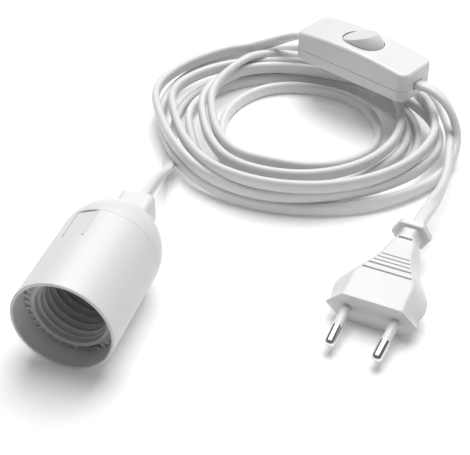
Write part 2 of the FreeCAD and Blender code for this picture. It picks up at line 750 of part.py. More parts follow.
rocker_place = switch_place * Place(Vec(0, 0, PIVOT.value), Turn(Vec(0, 1, 0), -number(dim("rocker_tilt"))))
ROCKER_BOTTOM = 3.4


def make_rocker():
    """Rocker: a rounded disc about its pin, cut flat where the finger presses and below."""
    body = new_body("rocker_block")
    section = new_sketch(body, "rocker_section", "YZ_Plane")
    rocker_outline(section, 0.0)
    revolve(body, "rocker_disc", section, "H_Axis")
    far = dim("rocker_radius") * 2.0
    top = new_sketch(body, "face_side", "XZ_Plane")
    rectangle(top, -far, far, dim("rocker_face"), far)
    pocket(body, "pressed_face", top, far, both=True)
    bottom = new_sketch(body, "bottom_side", "XZ_Plane")
    rectangle(bottom, -far, far, -far, -ROCKER_BOTTOM)
    pocket(body, "rocker_underside", bottom, far, both=True)
    hole = new_sketch(body, "rocker_hole_side", "XZ_Plane")
    circle(hole, 1.06)
    pocket(body, "rocker_hole", hole, far, both=True)
    soften(body, "face_edge", 0.6, lambda edge: at_height(edge, dim("rocker_face")))
    return finish(body, "rocker", rocker_place)


def make_switch_metal():
    half = HALF_WIDE - WALL - 0.2
    pin = rod("pin", 1.0, half * 2.0, (0, -half, PIVOT), Vec(0, 1, 0))
    finish(pin, "rocker_pin", switch_place * pin.Placement)
    bridge = block("bridge", (3.2, 7.0), (-4.8, 4.8), (-ROCKER_BOTTOM - 0.6, -ROCKER_BOTTOM))
    finish(bridge, "rocker_bridge", rocker_place * bridge.Placement)
    low = WALL + GAP
    high = low + 0.5
    spring = switch_strip("detent", [
        (-9.0, low), (-3.6, low), (-0.8, low + 5.0), (0.8, low + 5.0), (3.6, low), (9.0, low), (9.0, high),
        (3.9, high), (1.1, low + 5.5), (-1.1, low + 5.5), (-3.9, high), (-9.0, high),
    ], 4.0, 0.0)
    finish(spring, "detent_spring", switch_place)
    inlet = switch_strip("inlet", [
        (-LIVE_SCREW - 2.2, low), (4.6, low), (4.6, low + 3.6), (3.0, low + 3.6), (3.0, low + 3.2),
        (4.1, low + 3.2), (4.1, high), (-LIVE_SCREW - 2.2, high),
    ], 2.8, -LIVE, [-LIVE_SCREW])
    finish(inlet, "live_contact_in", switch_place)
    outlet = switch_strip("outlet", [
        (3.0, low), (LIVE_SCREW + 2.2, low), (LIVE_SCREW + 2.2, high), (3.5, high), (3.5, low + 3.2),
        (4.6, low + 3.2), (4.6, low + 3.6), (3.0, low + 3.6),
    ], 2.8, LIVE, [LIVE_SCREW])
    finish(outlet, "live_contact_out", switch_place)
    link = switch_strip("link", [
        (-NEUTRAL_SCREW - 2.0, low), (NEUTRAL_SCREW + 2.0, low), (NEUTRAL_SCREW + 2.0, high),
        (-NEUTRAL_SCREW - 2.0, high),
    ], 2.8, NEUTRAL, [-NEUTRAL_SCREW, NEUTRAL_SCREW])
    finish(link, "neutral_link", switch_place)
    places = [(side * LIVE_SCREW, side * LIVE) for side in (-1.0, 1.0)]
    places += [(side * NEUTRAL_SCREW, NEUTRAL) for side in (-1.0, 1.0)]
    screws = [screw("terminal_%d" % i, x, y, high + 0.02, 1.7, 1.35) for i, (x, y) in enumerate(places)]
    finish(group("switch_screws", screws), "switch_terminal_screws", switch_place)


def switch_strip(name, corners, width, across, holes=()):
    """A bent strip lying along the switch at a distance from its middle."""
    body = new_body(name)
    side = new_sketch(body, name + "_side", "XZ_Plane", height=-across - width / 2)
    outline(side, corners)
    pad(body, name + "_strip", side, width)
    if holes:
        plan = new_sketch(body, name + "_hole_plan", "XY_Plane", height=WALL + 3.0)
        for place in holes:
            circle(plan, 1.05, x=place, y=across)
        pocket(body, name + "_holes", plan, 3.2)
    return body


def screw(name, x, y, seat, reach, head_radius):
    """A slotted screw with its head above its seat."""
    head = rod(name + "_head", head_radius, 1.2, (x, y, seat))
    shank = rod(name + "_shank", 0.98, size_of(reach) + 0.6, (x, y, size_of(seat) - reach))
    whole = fuse(name + "_whole", [head, shank])
    drive = block(name + "_drive", (x - 3.0, x + 3.0), (y - 0.25, y + 0.25), (size_of(seat) + 0.8, size_of(seat) + 2.0))
    return cut(name + "_screw", whole, drive)


def make_clamps():
    """Bars that hold the lead down at both ends of the switch, and the screws of the case."""
    seat = CORD_HIGH + 1.6
    screws = []
    for name, side in (("left", -1.0), ("right", 1.0)):
        centre = side * CLAMP_AT
        bar = block("bar_" + name, (centre - 1.6, centre + 1.6), (-6.5, 6.5), (CORD_HIGH - 0.05, seat))
        holes = [rod("bar_hole_%s_%d" % (name, i), 1.05, 4.0, (centre, across, CORD_HIGH - 1.0))
                 for i, across in enumerate((-CLAMP_SCREW, CLAMP_SCREW))]
        finish(cut("clamp_" + name, bar, fuse("bar_holes_" + name, holes)), "cord_clamp_" + name, switch_place)
        for i, across in enumerate((-CLAMP_SCREW, CLAMP_SCREW)):
            screws.append(screw("clamp_%s_%d" % (name, i), centre, across, seat + 0.02, 7.0, 1.6))
    finish(group("bar_screws", screws), "clamp_screws", switch_place)
    case = []
    for name, side in (("left", -1.0), ("right", 1.0)):
        head = rod("case_head_" + name, 2.2, 0.75, (side * COVER_SCREW, 0, 0.2))
        shank = rod("case_shank_" + name, 1.2, 8.0, (side * COVER_SCREW, 0, 0.5))
        whole = fuse("case_whole_" + name, [head, shank])
        centre = side * COVER_SCREW
        drive = block("case_drive_" + name, (centre - 3.0, centre + 3.0), (-0.3, 0.3), (-0.5, 0.6))
        case.append(cut("case_screw_" + name, whole, drive))
    finish(group("case_screws", case), "cover_screws", switch_place)


# Plug. Its pieces are drawn with Y from the face towards the lead, X across and Z up.

PLUG_YAW = -7.9
PLUG_NOSE_DOWN = 6.9
plug_place = Place(
    Vec(96.2, 51.3 - LENGTH.value / 2, 6.9),
    Turn(Vec(0, 0, 1), PLUG_YAW) * Turn(Vec(1, 0, 0), PLUG_NOSE_DOWN),
)
PLUG_NECK_END = 43.0
PLUG_END = 46.2
# Sections of the plug's body behind its face: distance, half width, half of the flat, half height
PLUG_SECTIONS = [
    (0.0, 17.65, 11.2, 6.85),
    (6.0, 17.6, 11.2, 6.8),
    (12.5, 17.3, 11.1, 6.7),
    (17.0, 14.9, 10.0, 6.35),
    (22.0, 11.4, 7.6, 5.95),
    (29.0, 8.4, 5.3, 5.4),
    (36.0, 6.3, 3.8, 5.0),
    (PLUG_NECK_END, 5.5, 3.0, 4.8),
]


def hexagon(sketch, half, flat, height, point, corner):
    """A hexagon lying on its flat, with its two points and its four corners rounded."""
    lean = math.atan2(number(height), number(half) - number(flat))
    short = corner * math.tan(lean / 2)
    inset = point / math.tan(lean)
    along, up = math.cos(lean), math.sin(lean)
    right = [
        (flat - short, -height, corner, -1), (flat + short * along, -height + short * up),
        (half - inset * along, -inset * up, point, -1), (half - inset * along, inset * up),
        (flat + short * along, height - short * up, corner, -1), (flat - short, height),
    ]
    left = [(-x[0], -x[1]) + x[2:] for x in right]
    outline(sketch, right + left)


def collar_rim(edge, reach):
    """Whether an edge runs round the collar, outside the neck that enters it."""
    box = edge.BoundBox
    far = max(math.hypot(vertex.X, vertex.Z) for vertex in edge.Vertexes)
    return box.YMin > PLUG_NECK_END - 0.1 and box.YLength < 1e-4 and far > reach


def make_plug_body():
    """Moulded body: a pointed hexagon at the face that narrows to the neck, finger grooves and a collar."""
    body = new_body("plug_mould")
    wide = dim("plug_width") * (0.5 / 17.65)
    tall = dim("plug_height") * (0.5 / 6.85)
    sketches = []
    for i, (distance, half, flat, height) in enumerate(PLUG_SECTIONS):
        sketch = new_sketch(body, "plug_section_%d" % i, "XZ_Plane", height=-distance)
        hexagon(sketch, wide * half, wide * flat, tall * height, 0.9, 2.2)
        sketches.append(sketch)
    doc.recompute()
    loft = body.newObject("PartDesign::AdditiveLoft", "plug_taper")
    loft.Profile = sketches[0]
    loft.Sections = sketches[1:]
    doc.recompute()
    collar = new_sketch(body, "collar_end", "XZ_Plane", height=-PLUG_NECK_END)
    hexagon(collar, wide * 7.9, wide * 4.6, tall * 6.0, 0.9, 1.6)
    pad(body, "collar", collar, PLUG_END - PLUG_NECK_END, back=True)
    reach = 3.1 * (number(wide) + number(tall))
    soften(body, "collar_edge", 0.6, lambda edge: collar_rim(edge, reach))
    slope = math.degrees(math.atan2(6.35 - 5.4, 29.0 - 17.0))
    for name, way in (("top", 1.0), ("bottom", -1.0)):
        grooves = new_sketch(body, "grooves_" + name, "XY_Plane", height=0.0)
        tilt = Turn(Vec(1, 0, 0), -way * slope)
        grooves.AttachmentOffset = Place(Vec(0, 17.0, way * (6.35 - 0.55) * number(tall)), tilt)
        for place, half, broad in ((-1.0, 9.4, 1.1), (2.1, 8.2, 1.1), (4.4, 7.0, 0.6), (6.4, 6.2, 0.6), (8.4, 5.4, 0.6)):
            rectangle(grooves, wide * -half, wide * half, place - broad / 2, place + broad / 2)
        pocket(body, "finger_grooves_" + name, grooves, 3.0, back=way > 0)
    slot = new_sketch(body, "slot_plan", "XY_Plane", height=5.2)
    rectangle(slot, -2.7, 2.7, 36.0, 37.1)
    pocket(body, "top_slot", slot, 1.6)
    entry = new_sketch(body, "entry_end", "XZ_Plane", height=-PLUG_END - 1.0)
    slot_outline(entry, dim("cord_thickness") + GAP, dim("cord_width") + GAP, flat=True)
    pocket(body, "cord_entry", entry, 9.0, back=True)
    sockets = [plug_pin_core("socket_" + name, side) for name, side in (("left", -1.0), ("right", 1.0))]
    collars = [plug_sleeve_rod("seat_" + name, side) for name, side in (("left", -1.0), ("right", 1.0))]
    return finish(cut("plug_shell", body, fuse("plug_sockets", sockets + collars)), "plug_body", plug_place)


def pin_frame(side):
    """Where a pin leaves the face and which way it points."""
    spread = (dim("plug_pin_spacing").value - dim("plug_tip_spacing").value) / 2
    out = Vec(-side * spread, -dim("plug_pin_length").value, 0).normalize()
    return Vec(side * dim("plug_pin_spacing").value / 2, 0, 0), out


TAIL = 11.0
CORE_RADIUS = 1.5
SLEEVE_RADIUS = 1.8
SLEEVE_ROOT = 3.0


def plug_pin_core(name, side):
    """The pin's thin part and its tail in the moulding."""
    face, out = pin_frame(side)
    return rod(name, CORE_RADIUS, TAIL + dim("sleeve_length"), face - out * TAIL, out)


def plug_sleeve_rod(name, side):
    face, out = pin_frame(side)
    return rod(name, SLEEVE_RADIUS, dim("sleeve_length") + SLEEVE_ROOT, face - out * SLEEVE_ROOT, out)


def make_plug_pins():
    """Pins with a rounded tip, thinner where the sleeve is, and their sleeves."""
    radius = dim("plug_pin_radius")
    length = dim("plug_pin_length")
    sleeve = dim("sleeve_length")
    rounding = radius - 0.3
    for name, side in (("left", -1.0), ("right", 1.0)):
        face, out = pin_frame(side)
        body = new_body("pin_" + name)
        section = new_sketch(body, "pin_section_" + name, "XZ_Plane")
        outline(section, [
            (0.0, -TAIL), (CORE_RADIUS, -TAIL), (CORE_RADIUS, sleeve), (radius, sleeve),
            (radius, length - rounding, rounding, -1), (0.3, length), (0.0, length),
        ])
        revolve(body, "pin_round_" + name, section)
        finish(body, "plug_pin_" + name, plug_place * Place(face, Turn(Vec(0, 0, 1), out)))
        tube = plug_sleeve_rod("sleeve_rod_" + name, side)
        inner = plug_pin_core("sleeve_bore_" + name, side)
        finish(cut("sleeve_" + name, tube, inner), "pin_sleeve_" + name, plug_place)


# The coil of the lead, as one closed ring with the pile's outer shape

COIL_X = 40.5
COIL_Y = 166.0 - LENGTH.value / 2
COIL_OUT = (70.5, 60.8)
HOLE_X = 35.5
HOLE_Y = 162.0 - LENGTH.value / 2
COIL_IN = (37.0, 34.5)


def ellipse_face(x, y, reach):
    ellipse = Part.Ellipse(Vec(x, y, 0), *reach)
    return Part.Face(Part.Wire(ellipse.toShape()))


def make_coil():
    height = dim("coil_height").value
    ring = ellipse_face(COIL_X, COIL_Y, COIL_OUT).cut(ellipse_face(HOLE_X, HOLE_Y, COIL_IN))
    solid = ring.extrude(Vec(0, 0, height))
    tops = [edge for edge in solid.Edges if at_height(edge, height)]
    outer = max(tops, key=lambda edge: edge.Length)
    inner = min(tops, key=lambda edge: edge.Length)
    solid = solid.makeFillet(8.0, [outer]).makeFillet(6.0, [
        edge for edge in solid.makeFillet(8.0, [outer]).Edges
        if at_height(edge, height) and abs(edge.Length - inner.Length) < 1.0
    ])
    item = doc.addObject("Part::Feature", "coil")
    item.Shape = solid.Solids[0]
    return finish(item, "cord_coil", Place())


def from_mouth(x, y, z):
    """A place given from the middle of the mouth on the table."""
    return Vec(x, y - LENGTH.value / 2, z)


def switch_point(along, rise=0.0):
    """A place on the line of the lead through the switch."""
    return switch_place.multVec(Vec(along, 0, SEAM.value + 0.3 + rise))


def plug_point(distance):
    return plug_place.multVec(Vec(0, distance, 0))


def make_leads():
    neck = LENGTH.value
    axis = RADIUS.value
    make_lead("holder_lead", [
        from_mouth(0, neck - 7.0, axis), from_mouth(0, neck + 7.0, axis), from_mouth(-0.8, 92.5, 16.6),
        from_mouth(-3.2, 106.0, 11.5), from_mouth(-4.6, 121.5, 6.5),
    ], Vec(0, 0, 1))
    across = switch_place.Rotation.multVec(Vec(0, 1, 0))
    make_lead("switch_feed_lead", [
        switch_point(-25.0), switch_point(-36.0), from_mouth(15.5, 213.8, 25.5),
        from_mouth(4.5, 212.5, 19.5), from_mouth(-5.5, 206.5, 13.5),
    ], across)
    make_lead("switch_load_lead", [
        switch_point(25.0), switch_point(37.0), from_mouth(105.5, 171.5, 19.0), from_mouth(107.0, 157.5, 9.0),
    ], across)
    make_lead("plug_lead", [
        plug_point(38.8), plug_point(52.8), from_mouth(105.8, 117.0, 12.0), from_mouth(107.8, 130.5, 9.8),
        from_mouth(106.8, 143.0, 8.4), from_mouth(103.0, 155.0, 8.0),
    ], plug_place.Rotation.multVec(Vec(1, 0, 0)))


make_skirt()
make_cap()
make_insert()
make_contact_base()
make_holder_contacts()
make_terminals()
make_grip()
make_core("core_brown", -1.0)
make_core("core_blue", 1.0)
make_switch_base()
make_switch_cover()
make_rocker()
make_switch_metal()
make_clamps()
make_plug_body()
make_plug_pins()
make_coil()
make_leads()
doc.recompute()

for item in doc.Objects:
    if "Invalid" in item.State or "Error" in item.State:
        raise RuntimeError("%s is %s" % (item.Name, item.State))
for item in finished:
    if item.Shape.isNull() or not item.Shape.isValid():
        raise RuntimeError("%s has no valid shape" % item.Label)
for item in finished:
    item.Shape.exportStep("parts/%s.step" % item.Label)
print("sub-parts", len(finished))
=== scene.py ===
import math

import bpy
from bpy.props import FloatProperty, FloatVectorProperty, PointerProperty
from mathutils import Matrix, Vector


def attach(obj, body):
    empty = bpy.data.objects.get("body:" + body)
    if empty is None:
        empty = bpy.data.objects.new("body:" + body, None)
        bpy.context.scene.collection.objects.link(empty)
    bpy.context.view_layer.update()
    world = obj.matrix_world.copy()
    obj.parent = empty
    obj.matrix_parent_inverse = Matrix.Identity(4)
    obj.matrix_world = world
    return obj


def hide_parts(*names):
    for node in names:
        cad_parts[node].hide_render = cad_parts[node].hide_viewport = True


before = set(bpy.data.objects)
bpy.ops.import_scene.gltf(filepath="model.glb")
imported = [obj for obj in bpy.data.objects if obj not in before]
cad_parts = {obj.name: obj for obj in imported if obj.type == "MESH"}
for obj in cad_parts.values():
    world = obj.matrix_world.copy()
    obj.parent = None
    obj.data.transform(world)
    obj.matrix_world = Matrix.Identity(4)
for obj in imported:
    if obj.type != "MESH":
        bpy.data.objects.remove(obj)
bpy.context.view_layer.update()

bl_info = {
    "name": "Lamp holder with lead, switch and plug",
    "version": (1, 0, 0),
    "blender": (4, 5, 0),
    "location": "View3D > Sidebar > Lamp holder",
    "description": "Finishes a white lamp holder set, lays its flat lead and sets it on a pale table",
    "category": "Object",
}

MAIN_BODY = "holder_set"
HALF_HOLDER = 36.0


def from_mouth(x, y, z):
    """A place on the table in metres, from millimetres measured from the middle of the holder's mouth."""
    return Vector((x, y - HALF_HOLDER, z)) / 1000


class LampHolderSettings(bpy.types.PropertyGroup):
    """Sizes and colours of the lamp holder set."""

    cord_width: FloatProperty(
        name="Lead width", description="Wide way of the flat lead",
        default=0.0056, min=0.002, unit="LENGTH",
    )
    cord_thickness: FloatProperty(
        name="Lead thickness", description="Thin way of the flat lead",
        default=0.0034, min=0.001, unit="LENGTH",
    )
    shell_colour: FloatVectorProperty(
        name="Shell", description="Glossy moulded plastic of the holder, switch and plug",
        default=(0.71, 0.71, 0.71), size=3, min=0.0, max=1.0, subtype="COLOR",
    )
    # Painted shade: this colour is a darker grey than the shell so that it stands for the shade deep in
    # the holder's mouth. The cord grip and the switch's clamps use it too.
    inner_painted_shade_colour: FloatVectorProperty(
        name="Insert", description="Threaded insert plastic, darkened as painted shade inside the mouth",
        default=(0.50, 0.50, 0.495), size=3, min=0.0, max=1.0, subtype="COLOR",
    )
    sheath_colour: FloatVectorProperty(
        name="Sheath", description="Soft sheath of the flat lead",
        default=(0.71, 0.71, 0.705), size=3, min=0.0, max=1.0, subtype="COLOR",
    )
    nickel_colour: FloatVectorProperty(
        name="Pins", description="Plating of the plug's pins",
        default=(0.78, 0.77, 0.75), size=3, min=0.0, max=1.0, subtype="COLOR",
    )
    floor_colour: FloatVectorProperty(
        name="Table", description="Pale table top",
        default=(0.97, 0.97, 0.97), size=3, min=0.0, max=1.0, subtype="COLOR",
    )
    lamp_power: FloatProperty(
        name="Main light", description="Power of the large light above and behind",
        default=20.0, min=0.0, unit="POWER",
    )
    floor_glow: FloatProperty(
        name="Table glow", description="Share of light that a backlit table adds", default=0.08, min=0.0,
    )
    sky_strength: FloatProperty(
        name="Room light", description="Brightness of the room around the table", default=0.18, min=0.0,
    )


# Shader expressions


class Value:
    """A shader socket that carries a number, for use in arithmetic."""

    def __init__(self, finish, socket):
        self.finish = finish
        self.socket = socket

    def join(self, operation, first, second):
        node = self.finish.add("ShaderNodeMath", {"operation": operation}, {0: first, 1: second})
        return Value(self.finish, node.outputs[0])

    def __add__(self, other):
        return self.join("ADD", self, other)

    def __mul__(self, other):
        return self.join("MULTIPLY", self, other)

    __radd__ = __add__


class Finish:
    """A material whose nodes come from expressions."""

    def __init__(self, name):
        self.material = bpy.data.materials.new(name)
        self.material.use_nodes = True
        self.tree = self.material.node_tree
        self.tree.nodes.clear()
        self.surface = self.tree.nodes.new("ShaderNodeBsdfPrincipled")
        output = self.tree.nodes.new("ShaderNodeOutputMaterial")
        self.tree.links.new(self.surface.outputs["BSDF"], output.inputs["Surface"])
        self.place = self.tree.nodes.new("ShaderNodeTexCoord").outputs["Object"]

    def add(self, kind, settings, inputs):
        """A node of one kind, with its settings first and then its values and links."""
        node = self.tree.nodes.new(kind)
        for name, setting in settings.items():
            setattr(node, name, setting)
        for name, given in inputs.items():
            self.feed(node.inputs[name], given)
        return node

    def feed(self, socket, given):
        """Link a socket or set its value."""
        if isinstance(given, Value):
            self.tree.links.new(given.socket, socket)
        elif isinstance(given, bpy.types.NodeSocket):
            self.tree.links.new(given, socket)
        else:
            socket.default_value = given

    def noise(self, scale, detail=3.0, stretch=None):
        """Noise of a number of lumps to the metre, stretched along the axes where that is asked for."""
        where = self.place
        if stretch is not None:
            scaled = self.add("ShaderNodeVectorMath", {"operation": "MULTIPLY"}, {0: where, 1: stretch})
            where = scaled.outputs[0]
        node = self.add("ShaderNodeTexNoise", {}, {"Vector": where, "Scale": scale, "Detail": detail})
        return Value(self, node.outputs["Fac"])

    def between(self, mask, first, second):
        """Colour between two colours."""
        inputs = {"Factor": mask, 6: (*first, 1.0), 7: (*second, 1.0)}
        return self.add("ShaderNodeMix", {"data_type": "RGBA"}, inputs).outputs[2]

    def bump(self, height, depth, strength=1.0):
        inputs = {"Height": height, "Distance": depth, "Strength": strength}
        return self.add("ShaderNodeBump", {}, inputs).outputs["Normal"]

    def wear(self, **inputs):
        """Feed the surface's own sockets, named with underscores for spaces."""
        for name, given in inputs.items():
            self.feed(self.surface.inputs[name.replace("_", " ")], given)
        return self.material


def shade(colour, factor):
    return tuple(channel * factor for channel in colour)


def moulded(name, colour, roughness, grain=0.000012):
    """Moulded plastic: a faint cloudiness in the colour, uneven gloss and a fine grain."""
    finish = Finish(name)
    clouds = finish.noise(38.0, 2.0)
    specks = finish.noise(2400.0, 4.0)
    flow = finish.noise(160.0, 3.0, (1.0, 0.25, 1.0))
    return finish.wear(
        Base_Color=finish.between(clouds, shade(colour, 0.975), shade(colour, 1.02)),
        Roughness=roughness - 0.06 + flow * 0.12,
        Normal=finish.bump(specks + flow * 1.5, grain, 0.6),
        IOR=1.5,
    )


def sheath(name, colour):
    """Soft sheath of the lead, a little waxy, with shallow marks from the drum it was wound on."""
    finish = Finish(name)
    marks = finish.noise(420.0, 3.0)
    skin = finish.noise(3200.0, 4.0)
    return finish.wear(
        Base_Color=finish.between(marks, shade(colour, 0.96), shade(colour, 1.02)),
        Roughness=0.36 + marks * 0.14,
        Normal=finish.bump(skin + marks * 2.0, 0.00002, 0.55),
        IOR=1.48,
    )


def metal(name, colour, roughness, turned):
    """Plated or bare metal with fine marks left by the tool."""
    finish = Finish(name)
    marks = finish.noise(2600.0, 4.0, turned)
    dull = finish.noise(300.0, 3.0)
    return finish.wear(
        Base_Color=finish.between(dull, shade(colour, 0.9), colour),
        Metallic=1.0,
        Roughness=roughness + dull * 0.1,
        Normal=finish.bump(marks, 0.00001, 0.4),
    )


# The flat lead

COIL_X = 38.0
COIL_Y = 165.0
ON_EDGE = 0.0
FLAT = math.pi / 2
STEPS_TO_QUARTER = 4
STEPS_TO_HALF_CIRCLE = 8
# A smooth curve runs a little inside its control points
CONTROL_REACH = 1.0195
# The turns are drawn in by this share between their left and their front, over this angle
FRONT_LEFT_PULL = 0.09
FRONT_LEFT_SPAN = math.pi / 3
# Side where a winding's stations begin, and where it runs from and to, in quarter turns
FROM_LEFT = 0
FROM_RIGHT = 2
LONG_WINDING_BEGIN = 0.0
LONG_WINDING_END = 24.5
SHORT_WINDING_BEGIN = 0.15
SHORT_WINDING_END = 3.9

# Stations of the turns at the left, back, right and front in turn, where the short winding begins at the
# right: distance of the strand's middle from the coil's middle, and its height, in millimetres
LONG_TURNS = [
    (55.0, 2.9), (48.0, 2.9), (54.0, 2.9), (51.5, 2.9),
    (50.5, 2.9), (43.5, 2.9), (49.0, 4.5), (46.0, 3.5),
    (33.4, 2.9), (35.5, 2.9), (36.4, 3.5), (42.5, 14.3),
    (39.5, 15.0), (59.5, 3.2), (61.0, 13.4), (57.8, 14.0),
    (58.5, 12.0), (45.9, 8.6), (45.0, 9.5), (51.0, 14.6),
    (44.0, 11.0), (42.4, 8.5), (63.6, 7.8), (57.9, 8.3),
    (66.6, 12.0), (57.0, 14.0), (60.0, 13.0),
]
SHORT_TURN = [(70.4, 3.0), (57.7, 2.9), (64.4, 4.8), (60.4, 10.8), (66.6, 8.8)]

# Where a strand climbs over others or lies flat between them: count of quarter turns, half the stretch in
# quarter turns, lift in millimetres and turn about its own line in radians
LONG_CROSSINGS = [
    (12.52, 0.45, 5.8, 1.35), (13.72, 0.4, 3.2, 0.0), (17.3, 0.45, 5.8, 0.0),
    (22.5, 0.45, 0.6, 0.0), (23.55, 0.45, 1.8, 0.0),
]
SHORT_CROSSINGS = [(0.5, 0.45, 1.2, 0.0), (1.5, 0.45, 3.0, 0.0)]


def front_left_pull(angle):
    """Share by which the turns are drawn in between their left and their front."""
    past = (-angle) % (2 * math.pi)
    if past >= FRONT_LEFT_SPAN:
        return 0.0
    return FRONT_LEFT_PULL * math.sin(past / FRONT_LEFT_SPAN * math.pi)


def crossing(quarter, crossings):
    """Lift and turn that a strand has where it crosses others."""
    lift = turn = 0.0
    for middle, half, rise, roll in crossings:
        if abs(quarter - middle) < half:
            share = math.cos((quarter - middle) / half * math.pi / 2) ** 2
            lift += rise * share
            turn += roll * share
    return lift, turn


def side_reach(stations, offset, quarter):
    """Distance from the coil's middle along one axis, between the stations before and after a place."""
    last = len(stations) - 1
    before = math.floor((quarter - offset) / 2) * 2 + offset
    low, high = (min(max(place, offset), last) for place in (before, before + 2))
    low -= (low - offset) % 2
    high -= (high - offset) % 2
    share = (quarter - before) / 2
    return stations[low][0] * (1 - share) + stations[high][0] * share


def turn_points(stations, crossings, first_quarter, begin, end):
    """Points of a winding between two counts of quarter turns from the first station."""
    points = []
    steps = round((end - begin) * STEPS_TO_QUARTER)
    for step in range(steps + 1):
        quarter = begin + step / STEPS_TO_QUARTER
        across, along = (side_reach(stations, (side - first_quarter) % 2, quarter) for side in (0, 1))
        under = min(int(quarter), len(stations) - 2)
        share = quarter - under
        lift, turn = crossing(quarter, crossings)
        height = stations[under][1] * (1 - share) + stations[under + 1][1] * share + lift
        angle = (quarter + first_quarter) * math.pi / 2
        fit = CONTROL_REACH * (1 - front_left_pull(angle))
        x = COIL_X - fit * across * math.cos(angle)
        y = COIL_Y + fit * along * math.sin(angle)
        points.append((x, y, height, turn))
    return points


def lead_to_switch():
    """Control points of the lead from the holder's neck to the switch: place, and turn about its line."""
    start = [
        (0.0, 65.0, 19.2, ON_EDGE), (0.2, 72.0, 19.2, ON_EDGE), (0.2, 79.0, 19.0, ON_EDGE),
        (-0.6, 87.0, 17.4, ON_EDGE), (-2.2, 97.0, 13.8, 0.1), (-3.6, 107.5, 9.0, 0.5),
        (-5.2, 117.5, 4.4, 1.1), (-8.2, 128.0, 2.1, FLAT), (-13.0, 142.0, 2.5, 0.9),
    ]
    turns = turn_points(LONG_TURNS, LONG_CROSSINGS, FROM_LEFT, LONG_WINDING_BEGIN, LONG_WINDING_END)
    finish = [
        (1.5, 211.4, 13.2, ON_EDGE), (8.5, 213.4, 15.4, 0.2), (15.5, 214.0, 18.4, 0.6),
        (22.2, 212.4, 22.4, 1.0), (28.2, 209.4, 25.6, 1.4), (32.7, 206.5, 26.7, FLAT),
        (37.2, 204.1, 26.7, FLAT),
    ]
    return start + turns + finish


def lead_to_plug():
    """Control points of the lead from the switch to the plug."""
    start = [
        (82.5, 182.7, 26.7, FLAT), (87.9, 180.2, 26.7, FLAT), (94.6, 177.8, 26.6, 1.45),
        (101.2, 174.6, 23.6, 1.1), (106.6, 171.4, 16.4, 0.5), (109.4, 166.8, 8.6, 0.1),
    ]
    turns = turn_points(SHORT_TURN, SHORT_CROSSINGS, FROM_RIGHT, SHORT_WINDING_BEGIN, SHORT_WINDING_END)
    finish = [
        (106.4, 158.5, 9.8, ON_EDGE), (107.9, 148.0, 9.4, ON_EDGE), (108.2, 137.0, 9.0, ON_EDGE),
        (107.4, 126.5, 9.8, 0.25), (106.2, 117.5, 11.0, 1.0), (104.7, 108.5, 12.1, FLAT),
        (103.3, 98.6, 12.9, FLAT), (101.5, 89.4, 11.6, FLAT),
    ]
    return start + turns + finish


def lead_section(settings):
    """The flat lead's outline, used along its line: two half-circles joined by straight sides."""
    curve = bpy.data.curves.new("lead_section", "CURVE")
    curve.dimensions = "2D"
    half = settings.cord_thickness / 2
    straight = (settings.cord_width - settings.cord_thickness) / 2
    corners = []
    for first_angle, middle in ((0.0, straight), (math.pi, -straight)):
        for step in range(STEPS_TO_HALF_CIRCLE + 1):
            angle = step / STEPS_TO_HALF_CIRCLE * math.pi + first_angle
            corners.append((half * math.cos(angle), middle + half * math.sin(angle)))
    line = curve.splines.new("POLY")
    line.points.add(len(corners) - 1)
    for point, corner in zip(line.points, corners):
        point.co = (*corner, 0.0, 1.0)
    line.use_cyclic_u = True
    section = bpy.data.objects.new("lead_section", curve)
    bpy.context.scene.collection.objects.link(section)
    section.hide_render = True
    section.hide_viewport = True
    return section


def lay_lead(name, points, section, material):
    """A stretch of the flat lead as one smooth curve through its control points."""
    curve = bpy.data.curves.new(name, "CURVE")
    curve.dimensions = "3D"
    curve.twist_mode = "Z_UP"
    curve.resolution_u = 6
    line = curve.splines.new("NURBS")
    line.points.add(len(points) - 1)
    for point, (x, y, z, turn) in zip(line.points, points):
        point.co = (*from_mouth(x, y, z), 1.0)
        point.tilt = turn
    line.order_u = 3
    line.use_endpoint_u = True
    line.use_smooth = True
    curve.bevel_mode = "OBJECT"
    curve.bevel_object = section
    curve.use_fill_caps = True
    curve.materials.append(material)
    lead = bpy.data.objects.new(name, curve)
    bpy.context.scene.collection.objects.link(lead)
    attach(lead, MAIN_BODY)
    return lead


class LAMPSET_OT_leads(bpy.types.Operator):
    """Lay the flat lead from the holder to the switch and on to the plug, with its turns"""

    bl_idname = "lampset.leads"
    bl_label = "Flat lead"

    def execute(self, context):
        settings = context.scene.lamp_holder
        material = sheath("Soft white sheath", settings.sheath_colour)
        section = lead_section(settings)
        first = lay_lead("lead_holder_to_switch", lead_to_switch(), section, material)
        second = lay_lead("lead_switch_to_plug", lead_to_plug(), section, material)
        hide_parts("holder_lead", "switch_feed_lead", "cord_coil")
        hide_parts("switch_load_lead", "plug_lead")
        tuple(from_mouth(0.0, 72.0, 19.2))
        tuple(from_mouth(87.5, 180.5, 26.7))
        return {"FINISHED"}


# Finishes of the hard pieces

def dress(material, *names):
    """Give CAD nodes a material, each in its first slot."""
    for name in names:
        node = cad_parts[name]
        node.data.materials.clear()
        node.data.materials.append(material)


